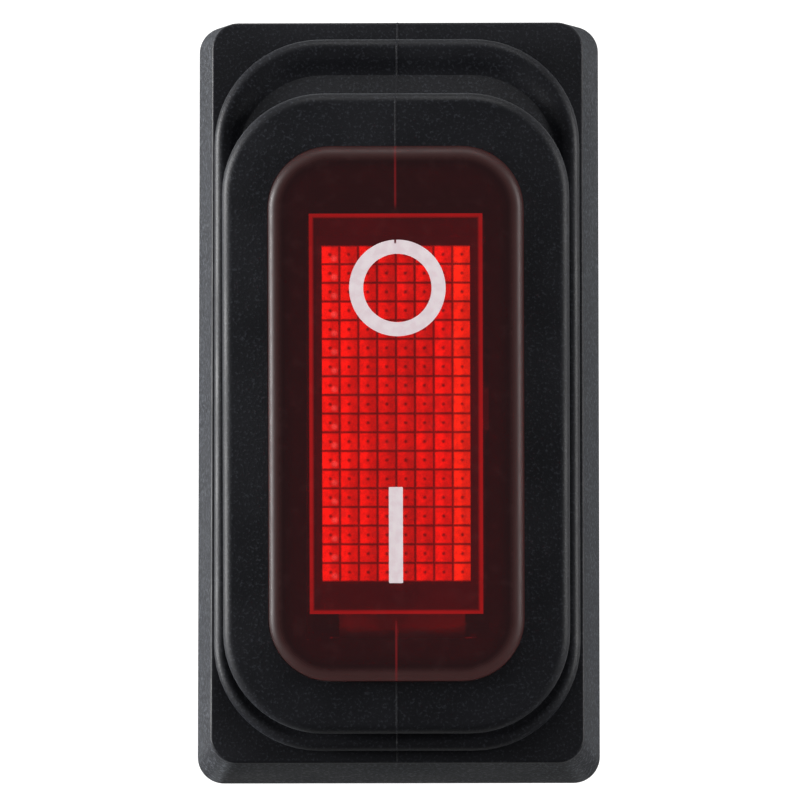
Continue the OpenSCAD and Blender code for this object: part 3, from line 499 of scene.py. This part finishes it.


# Clear dark red rubber, a little cloudy, with dust in its skin that makes it rougher. Its colour is painted darker
# towards the border as shade, it glows with a faint painted haze that follows the dust and is brighter at the rim, and
# the mould's parting line is painted as a redder glowing line
clear_rubber, tree, shader, coords = new_finish(
    "Clear red rubber", {"Transmission Weight": 1.0, "IOR": 1.43, "Roughness": 0.05, "Emission Strength": 1.0})
level, (x, y, z) = level_coords(tree, coords)
cloud = add(tree, "TexNoise", {"Vector": level, "Scale": 220.0, "Detail": 4.0, "Roughness": 0.6}).outputs["Fac"]
past = [calc(tree, "MAXIMUM", calc(tree, "SUBTRACT", calc(tree, "ABSOLUTE", v), half / 2 - WINDOW[2]), 0.0)
        for v, half in ((x, WINDOW[0]), (y, WINDOW[1]))]
from_corner = add(tree, "VectorMath", {0: add(tree, "CombineXYZ", {"X": past[0], "Y": past[1]}).outputs[0]},
                  operation="LENGTH").outputs["Value"]
# Painted shade: the window's colour darkens towards its border.
painted_border_shade = ramp(tree, from_corner, WINDOW[2] - 1.3 * MM, WINDOW[2] - 0.6 * MM, 0.0, 1.0)
body = tint(tree, ramp(tree, cloud, 0.3, 0.7, 0.0, 1.0), (0.40, 0.022, 0.030, 1), (0.47, 0.030, 0.038, 1))
tree.links.new(tint(tree, painted_border_shade, body, (0.075, 0.016, 0.020, 1)), shader.inputs["Base Color"])
dust_and_haze_glow = add(tree, "TexNoise", {"Vector": level, "Scale": 1500.0, "Detail": 2.0}).outputs["Fac"]
# A painted glow: the parting line glows red towards the window's ends.
parting = calc(tree, "MULTIPLY", ramp(tree, calc(tree, "ABSOLUTE", x), 0.03 * MM, 0.07 * MM, 1.0, 0.0),
               ramp(tree, calc(tree, "ABSOLUTE", y), 9.8 * MM, 10.3 * MM, 0.0, 0.35))
# A painted glow: a faint haze of emission that follows the dust, brighter at the rim.
painted_haze_glow = tint(tree, ramp(tree, dust_and_haze_glow, 0.5, 0.75, 0.0, 1.0), (0.0108, 0.0040, 0.0046, 1), (0.0150, 0.0060, 0.0066, 1))
rim = ramp(tree, from_corner, WINDOW[2] - 0.75 * MM, WINDOW[2] - 0.3 * MM, 0.0, 1.0)
painted_haze_glow = tint(tree, rim, painted_haze_glow, (0.030, 0.0130, 0.0125, 1))
tree.links.new(calc(tree, "MULTIPLY_ADD", rim, 0.45, ramp(tree, dust_and_haze_glow, 0.4, 0.75, 0.04, 0.12)),
               shader.inputs["Roughness"])
tree.links.new(tint(tree, parting, painted_haze_glow, (0.20, 0.012, 0.015, 1)),
               shader.inputs["Emission Color"])

bm = bmesh.new()
flange_top = DECK_Z - FOLD - 0.05 * MM
rings = ([(WINDOW, 0.8 * MM, WINDOW_TOP - WINDOW_WALL, 0), (WINDOW, 0.8 * MM, flange_top - 0.6 * MM, 0),
          (WINDOW, 0.05 * MM - FLANGE, flange_top - 0.6 * MM, 0), (WINDOW, 0.05 * MM - FLANGE, flange_top, 0),
          (WINDOW, 0, flange_top, 0)] +
         arc(WINDOW, WINDOW_EDGE, WINDOW_EDGE, WINDOW_TOP - WINDOW_EDGE, 0, 0, 90, 8) +
         [(WINDOW, WINDOW_EDGE + 0.1 * MM, WINDOW_TOP, 0)])
skin(bm, rings, closed=False)
rocked(bm)
window = new_piece("clear_window", bm, clear_rubber, 40.0)
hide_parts("boot_window")
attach(window, "rocker")

# ---------- Marks ----------
# The "off" ring and the "on" bar, pad-printed on the window in a thick white ink that is slightly
# uneven, thins at its borders, and breaks where it crosses the parting line.

RING = (3.3 * MM / 2, 4.66 * MM / 2)
BAR = (0.68 * MM, 4.64 * MM)
RING_AT, BAR_AT, INK = (0.10 * MM, 6.10 * MM), (0, -5.83 * MM), 0.015 * MM

# The ink glows faintly: a painted glow, as if lit.
white_ink, tree, shader, coords = new_finish("White ink", {"Emission Strength": 0.2})
level, (x, y, z) = level_coords(tree, coords)
spots = add(tree, "TexNoise", {"Vector": level, "Scale": 2500.0, "Detail": 3.0}).outputs["Fac"]
colour = tint(tree, ramp(tree, spots, 0.35, 0.65, 0.0, 1.0), (0.89, 0.75, 0.79, 1), (0.95, 0.84, 0.87, 1))
notch = calc(tree, "MULTIPLY", ramp(tree, calc(tree, "ABSOLUTE", x), 0.03 * MM, 0.07 * MM, 1.0, 0.0),
             ramp(tree, y, RING_AT[1] + RING[1] - 0.22 * MM, RING_AT[1] + RING[1] - 0.12 * MM, 0.0, 1.0))
colour = tint(tree, notch, colour, (0.12, 0.01, 0.02, 1))
tree.links.new(colour, shader.inputs["Base Color"])
tree.links.new(colour, shader.inputs["Emission Color"])
tree.links.new(ramp(tree, spots, 0.3, 0.7, 0.4, 0.55), shader.inputs["Roughness"])


def print_on(name, bm, at):
    """A flat print given the ink's thickness and laid on the window."""
    bmesh.ops.translate(bm, vec=(*at, WINDOW_TOP + INK * 0.2), verts=bm.verts)
    raised = bmesh.ops.extrude_face_region(bm, geom=bm.faces[:])["geom"]
    bmesh.ops.translate(bm, vec=(0, 0, INK), verts=[g for g in raised if isinstance(g, bmesh.types.BMVert)])
    bmesh.ops.recalc_face_normals(bm, faces=bm.faces)
    rocked(bm)
    mark = new_piece(name, bm, white_ink, 50.0)
    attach(mark, "rocker")


bm = bmesh.new()
inner = bmesh.ops.create_circle(bm, cap_ends=False, segments=96, radius=RING[0])["verts"]
outer = bmesh.ops.create_circle(bm, cap_ends=False, segments=96, radius=RING[1])["verts"]
bmesh.ops.bridge_loops(bm, edges=bm.edges[:])
print_on("off_ring", bm, RING_AT)

bm = bmesh.new()
bar = bmesh.ops.create_grid(bm, x_segments=1, y_segments=1, size=0.5)["verts"]
bmesh.ops.scale(bm, vec=(*BAR, 1), verts=bar)
bmesh.ops.bevel(bm, geom=bar, offset=0.04 * MM, offset_type="OFFSET", affect="VERTICES", segments=3,
                profile=0.5, material=-1)
print_on("on_bar", bm, BAR_AT)

# ---------- Boot ----------
# The black rubber boot: one moulding that wraps the bezel, seals on the panel with a bead, and
# carries the window on two soft folds. A thin parting line crosses its ends.

SKIRT = (19.7 * MM, 37.6 * MM, 1.3 * MM)
BROW = (18.2 * MM, 36.5 * MM, 1.3 * MM)
COLLAR = (17.8 * MM, 34.8 * MM, 5.2 * MM)
DECK = (16.8 * MM, 31.0 * MM, 4.9 * MM)
BEZEL = (15.4 * MM, 33.3 * MM, 1.25 * MM)
SEAL = (11.0 * MM, 30.0 * MM, 0.65 * MM)
OPENING = grown(WINDOW, 0.05 * MM)
LIP_Z, SKIRT_TOP, CREST_Z, SHELF_Z, RIM_Z = 0.3 * MM, 4.8 * MM, 6.08 * MM, 6.15 * MM, 8.95 * MM
SKIRT_EDGE, CREST, RIM, GROOVE = 0.12 * MM, 0.42 * MM, 0.5 * MM, 0.65 * MM
CREST_END = (1.7 * CREST, CREST_Z + 0.86 * CREST)
NECK_Z = RIM_Z - RIM
NECK = GROOVE + 0.05 * MM
BEAD = (0.7 * MM, 2.3 * MM)


def between(one, other, t):
    return tuple(a + (b - a) * t for a, b in zip(one, other))


SHELF = between(grown(COLLAR, -2 * CREST - 0.2 * MM), grown(DECK, -GROOVE), 0.5)

rubber = moulded("Boot rubber", (0.0058, 0.0062, 0.0092), (0.048, 0.052, 0.064), 0.5, 0.50, 7500.0, 0.012 * MM,
                 {"Specular IOR Level": 0.32, "Sheen Weight": 0.05, "Sheen Roughness": 0.4,
                  "Sheen Tint": (0.85, 0.92, 1.0, 1)})
# The skirt's walls come from a more deeply eroded part of the mould: matt, with light specks painted into their colour
# as a painted sparkle of their grain
tree, shader = rubber.node_tree, rubber.node_tree.nodes["Principled BSDF"]
coords = add(tree, "TexCoord").outputs["Object"]
wall = ramp(tree, add(tree, "SeparateXYZ", {"Vector": coords}).outputs["Z"],
            SKIRT_TOP - 0.30 * MM, SKIRT_TOP - 0.05 * MM, 1.0, 0.0)
points = add(tree, "TexNoise", {"Vector": coords, "Scale": 6000.0, "Detail": 2.0, "Roughness": 0.7}).outputs["Fac"]
# Painted sparkle: light specks in the walls' colour.
painted_sparkle = calc(tree, "MULTIPLY", wall, ramp(tree, points, 0.50, 0.66, 0.0, 1.0))
skin_colour, skin_roughness = (shader.inputs[k].links[0].from_socket for k in ("Base Color", "Roughness"))
tree.links.new(tint(tree, painted_sparkle, skin_colour, (0.075, 0.083, 0.096, 1)), shader.inputs["Base Color"])
tree.links.new(calc(tree, "MULTIPLY_ADD", wall, 0.25, skin_roughness), shader.inputs["Roughness"])

# The fold falls from its crest to a shelf, and turns up there into the neck under the deck's rim
fall = []
for t in (1 / 6, 2 / 6, 3 / 6, 4 / 6, 5 / 6, 1):
    drop = CREST_END[1] + (SHELF_Z - CREST_END[1]) * t * t * (3 - 2 * t)
    fall.append((between(grown(COLLAR, -CREST_END[0]), SHELF, t), 0, drop, 0.27 - 0.03 * t))
outside = (
    [(SEAL, 0, LIP_Z, 0), (SEAL, -BEAD[0], LIP_Z, 0), (SEAL, -BEAD[0], 0.06 * MM, 0),
     (SEAL, -BEAD[0] - 0.06 * MM, 0, 0), (SEAL, -BEAD[1] + 0.06 * MM, 0, 0), (SEAL, -BEAD[1], 0.06 * MM, 0),
     (SEAL, -BEAD[1], LIP_Z, 0)] +
    arc(SKIRT, 0.15 * MM, 0.15 * MM, LIP_Z + 0.15 * MM, 0, -90, 0) +
    arc(BROW, SKIRT_EDGE, SKIRT_EDGE, SKIRT_TOP - SKIRT_EDGE, 0, 0, 90) +
    [(COLLAR, 0, SKIRT_TOP, 0)] + arc(COLLAR, CREST, CREST, CREST_Z, 0.27, 0, 110, 8) +
    [(COLLAR, *CREST_END, 0.27)] + fall +
    [(DECK, NECK + 0.12 * MM, SHELF_Z + 0.1 * MM, 0.3), (DECK, NECK, SHELF_Z + 0.35 * MM, 0.4),
     (DECK, NECK, NECK_Z - 0.5 * MM, 0.85)] +
    arc(DECK, RIM, RIM, RIM_Z, 1, -90, 0, 6) + arc(DECK, RIM, RIM, RIM_Z, 1, 0, 90, 8)[1:] +
    [(OPENING, 0, DECK_Z, 1)])
inside = [
    (OPENING, 0, DECK_Z - FOLD, 1), (OPENING, -FLANGE, DECK_Z - FOLD, 1),
    (DECK, GROOVE + FOLD, DECK_Z - FOLD - 0.1 * MM, 1), (DECK, GROOVE + FOLD, NECK_Z - 0.5 * MM, 0.85),
    (DECK, GROOVE + FOLD, SHELF_Z, 0.4), (SHELF, FOLD / 2, SHELF_Z - FOLD, 0.15),
    (BEZEL, 0.5 * MM, 4.1 * MM, 0), (BEZEL, 0.5 * MM, 3.65 * MM, 0),
    (BEZEL, 0, 3.65 * MM, 0), (BEZEL, 0, 0.95 * MM, 0), (SEAL, 0, 0.95 * MM, 0)]

bm = bmesh.new()
share_of_tilt = bm.verts.layers.float.new("share")
skin(bm, outside + inside, closed=True, share_layer=share_of_tilt)
# The parting line: a fine raised thread of flash down the middle, with a sharp foot on each side
THREAD = (0.05 * MM, 0.02 * MM)
for x in (-THREAD[0], 0, THREAD[0]):
    bmesh.ops.bisect_plane(bm, geom=bm.faces[:] + bm.edges[:] + bm.verts[:], plane_co=(x, 0, 0), plane_no=(1, 0, 0))
bm.normal_update()
for v in bm.verts:
    if abs(v.co.x) < 1e-8 and v.co.z > 1.0 * MM and v.normal.z > -0.5:
        v.co += v.normal * THREAD[1]
bm.normal_update()
boot = new_piece("rubber_boot", bm, rubber, 19.0)
for e in boot.data.edges:
    if all(abs(abs(boot.data.vertices[i].co.x) - THREAD[0]) < 1e-8 for i in e.vertices):
        e.use_edge_sharp = True
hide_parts("boot")
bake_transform(boot)

# ---------- Studio ----------
# A pale table under soft lamps: the key on the left, a weaker one on the right and one behind.

lowest = cad_box[0][2]
bm = bmesh.new()
bmesh.ops.create_grid(bm, x_segments=1, y_segments=1, size=2.0)
bmesh.ops.translate(bm, vec=(0, 0, lowest), verts=bm.verts)
mesh = bpy.data.meshes.new("Table")
bm.to_mesh(mesh)
bm.free()
table = bpy.data.objects.new("table", mesh)
bpy.context.scene.collection.objects.link(table)
white_table, tree, shader, coords = new_finish("White table", {"Roughness": 0.6, "Base Color": (0.42, 0.42, 0.42, 1),
                                                               "Emission Color": (1, 1, 1, 1)})
path = add(tree, "LightPath").outputs
mirrored = calc(tree, "MAXIMUM", path["Is Glossy Ray"], path["Is Transmission Ray"])
seen = calc(tree, "MULTIPLY_ADD", path["Is Camera Ray"], 0.85, calc(tree, "MULTIPLY", mirrored, 0.05))
tree.links.new(seen, shader.inputs["Emission Strength"])
mesh.materials.append(white_table)
clear = add(tree, "BsdfTransparent").outputs[0]
mixed = add(tree, "MixShader", {0: add(tree, "NewGeometry").outputs["Backfacing"], 1: shader.outputs[0], 2: clear})
tree.links.new(mixed.outputs[0], tree.nodes["Material Output"].inputs["Surface"])

world = bpy.data.worlds.new("Studio")
bpy.context.scene.world = world
world.use_nodes = True
sky = world.node_tree.nodes["Background"]
path = add(world.node_tree, "LightPath").outputs
world.node_tree.links.new(calc(world.node_tree, "MULTIPLY_ADD", path["Is Camera Ray"], 0.9, 0.1), sky.inputs["Strength"])
sky.inputs["Color"].default_value = (1, 1, 1, 1)

TARGET = Vector((0.1 * MM, -0.2 * MM, 3.0 * MM))
for name, place, size, power in (("Key", (-0.50, 0.06, 0.16), 0.30, 1.7), ("Low", (-0.40, 0.04, 0.035), 0.09, 2.2),
                                 ("Fill", (0.45, 0.05, 0.13), 0.20, 1.6), ("Back", (0.05, 0.50, 0.28), 0.35, 1.2)):
    lamp = bpy.data.objects.new(name, bpy.data.lights.new(name, "AREA"))
    lamp.data.size, lamp.data.energy = size, power
    lamp.location = place
    lamp.rotation_mode = "QUATERNION"
    lamp.rotation_quaternion = (TARGET - lamp.location).to_track_quat("-Z", "Y")
    bpy.context.scene.collection.objects.link(lamp)

bpy.context.scene.view_settings.view_transform = "Standard"
camera = bpy.data.objects.new("Camera", bpy.data.cameras.new("Camera"))
bpy.context.scene.collection.objects.link(camera)
bpy.context.scene.camera = camera
DISTANCE, ELEVATION, AZIMUTH = 0.50, math.radians(82.0), math.radians(0.9)
camera.data.sensor_width = 36.0
camera.data.lens = 36.0 * 0.503 / 0.03942
camera.data.clip_start, camera.data.clip_end = 0.01, 20.0
turn = Matrix.Rotation(AZIMUTH, 3, "Y") @ Matrix.Rotation(math.pi / 2 - ELEVATION, 3, "X")
camera.location = TARGET + turn @ Vector((0, 0, DISTANCE))
camera.rotation_mode = "QUATERNION"
camera.rotation_quaternion = turn.to_quaternion()
